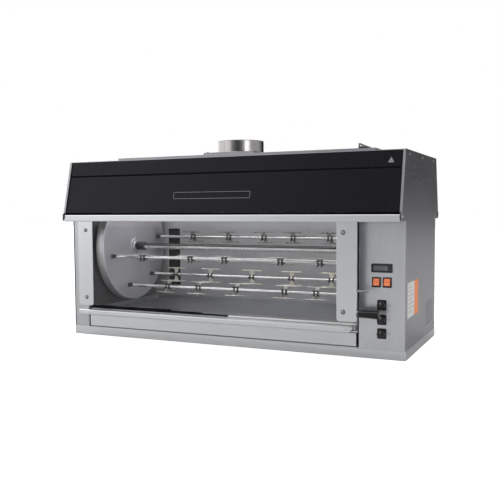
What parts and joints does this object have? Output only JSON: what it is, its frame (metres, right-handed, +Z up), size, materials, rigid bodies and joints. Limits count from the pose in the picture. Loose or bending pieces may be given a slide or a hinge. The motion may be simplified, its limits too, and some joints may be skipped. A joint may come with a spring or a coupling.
{
  "type": "rotisserie oven",
  "caption": "Long countertop rotisserie oven with a black-fronted hood and flue, a top-hung glass door, a control column, and forked spits carried round between two discs.",
  "frame": {"origin": "middle of the footprint, on the surface that the plinth stands on", "axes": "+X to the right along the length, towards the control column; the door faces -Y; +Z up"},
  "size_m": [1.304, 0.6318, 0.7416],
  "materials": {
    "brushed_steel": "brushed",
    "flue_steel": "brushed, heat darkened",
    "black_enamel": "satin",
    "black_plastic": "semi-gloss",
    "orange_lens": "translucent",
    "door_glass": "polished",
    "bright_steel": "polished",
    "cast_metal": "as cast",
    "brass": "machined",
    "burner_tile": "matt"
  },
  "bodies": {
    "oven": {"plinth": "brushed_steel", "floor_panel": "brushed_steel", "left_side_panel": "brushed_steel", "right_side_panel": "brushed_steel", "left_column": "brushed_steel", "rear_panel": "brushed_steel", "left_liner": "brushed_steel", "right_liner": "brushed_steel", "rear_wall": "brushed_steel", "rear_fascia": "brushed_steel", "roof_panel": "brushed_steel", "roof_cover": "brushed_steel", "flue_base": "brushed_steel", "control_panel": "brushed_steel", "flue_collar": "flue_steel", "fascia_upper": "black_enamel", "fascia_lower": "black_enamel", "temperature_display": "black_plastic", "switch_housing_1": "black_plastic", "switch_housing_2": "black_plastic", "knob_plate_1": "black_plastic", "knob_plate_2": "black_plastic", "knob_plate_3": "black_plastic", "gear_motor": "cast_metal", "sun_gear": "cast_metal", "gas_manifold": "brass", "valve_block": "brass", "shaft_bearing": "brass", "burner_1": "burner_tile", "burner_2": "burner_tile", "burner_3": "burner_tile"},
    "door": {"door_rail": "brushed_steel", "door_strip_left": "brushed_steel", "door_strip_right": "brushed_steel", "door_glass": "door_glass", "door_handle": "black_plastic"},
    "rotor": {"rotor_shaft": "bright_steel", "drive_disc": "brushed_steel", "idler_disc": "brushed_steel", "main_gear": "cast_metal"},
    "pinion": {"motor_pinion": "cast_metal"},
    "spit_1": {"spit_1": "bright_steel", "planet_gear_1": "cast_metal"},
    "spit_2": {"spit_2": "bright_steel", "planet_gear_2": "cast_metal"},
    "spit_3": {"spit_3": "bright_steel", "planet_gear_3": "cast_metal"},
    "spit_4": {"spit_4": "bright_steel", "planet_gear_4": "cast_metal"},
    "spit_5": {"spit_5": "bright_steel", "planet_gear_5": "cast_metal"},
    "spit_6": {"spit_6": "bright_steel", "planet_gear_6": "cast_metal"},
    "drip_tray": {"drip_tray": "brushed_steel"},
    "grease_drawer": {"grease_drawer": "brushed_steel"},
    "rocker_1": {"rocker_1": "orange_lens"},
    "rocker_2": {"rocker_2": "orange_lens"},
    "knob_1": {"knob_1": "black_plastic"},
    "knob_2": {"knob_2": "black_plastic"},
    "knob_3": {"knob_3": "black_plastic"}
  },
  "joints": [
    {"name": "door_swing", "type": "hinge", "parent": "oven", "child": "door", "pos_m": [0, -0.301, 0.458], "axis": [-1, 0, 0], "range_deg": [0, 95]},
    {"name": "rotor_turn", "type": "hinge", "parent": "oven", "child": "rotor", "pos_m": [0, 0.008, 0.333], "axis": [1, 0, 0], "continuous": true},
    {"name": "pinion_turn", "type": "hinge", "parent": "oven", "child": "pinion", "pos_m": [0, 0.008, 0.229], "axis": [1, 0, 0], "continuous": true},
    {"name": "spit_1_spin", "type": "hinge", "parent": "rotor", "child": "spit_1", "pos_m": [0, -0.15565, 0.29971], "axis": [1, 0, 0], "continuous": true},
    {"name": "spit_2_spin", "type": "hinge", "parent": "rotor", "child": "spit_2", "pos_m": [0, -0.04499, 0.17463], "axis": [1, 0, 0], "continuous": true},
    {"name": "spit_3_spin", "type": "hinge", "parent": "rotor", "child": "spit_3", "pos_m": [0, 0.11866, 0.20792], "axis": [1, 0, 0], "continuous": true},
    {"name": "spit_4_spin", "type": "hinge", "parent": "rotor", "child": "spit_4", "pos_m": [0, 0.17165, 0.36629], "axis": [1, 0, 0], "continuous": true},
    {"name": "spit_5_spin", "type": "hinge", "parent": "rotor", "child": "spit_5", "pos_m": [0, 0.06099, 0.49137], "axis": [1, 0, 0], "continuous": true},
    {"name": "spit_6_spin", "type": "hinge", "parent": "rotor", "child": "spit_6", "pos_m": [0, -0.10266, 0.45808], "axis": [1, 0, 0], "continuous": true},
    {"name": "tray_pull", "type": "slide", "parent": "oven", "child": "drip_tray", "axis": [0, -1, 0], "range_m": [0, 0.42]},
    {"name": "drawer_pull", "type": "slide", "parent": "oven", "child": "grease_drawer", "axis": [0, -1, 0], "range_m": [0, 0.32]},
    {"name": "rocker_1_tip", "type": "hinge", "parent": "oven", "child": "rocker_1", "pos_m": [0.556, -0.25, 0.248], "axis": [1, 0, 0], "range_deg": [0, 16]},
    {"name": "rocker_2_tip", "type": "hinge", "parent": "oven", "child": "rocker_2", "pos_m": [0.591, -0.25, 0.248], "axis": [1, 0, 0], "range_deg": [0, 16]},
    {"name": "knob_1_turn", "type": "hinge", "parent": "oven", "child": "knob_1", "pos_m": [0.574, -0.26, 0.175], "axis": [0, -1, 0], "range_deg": [0, 270]},
    {"name": "knob_2_turn", "type": "hinge", "parent": "oven", "child": "knob_2", "pos_m": [0.574, -0.26, 0.128], "axis": [0, -1, 0], "range_deg": [0, 270]},
    {"name": "knob_3_turn", "type": "hinge", "parent": "oven", "child": "knob_3", "pos_m": [0.574, -0.26, 0.083], "axis": [0, -1, 0], "range_deg": [0, 270]}
  ],
  "couplings": [
    {"joint": "pinion_turn", "follows": "rotor_turn", "ratio": -3.3333},
    {"joint": "spit_1_spin", "follows": "rotor_turn", "ratio": 3.25},
    {"joint": "spit_2_spin", "follows": "rotor_turn", "ratio": 3.25},
    {"joint": "spit_3_spin", "follows": "rotor_turn", "ratio": 3.25},
    {"joint": "spit_4_spin", "follows": "rotor_turn", "ratio": 3.25},
    {"joint": "spit_5_spin", "follows": "rotor_turn", "ratio": 3.25},
    {"joint": "spit_6_spin", "follows": "rotor_turn", "ratio": 3.25}
  ]
}
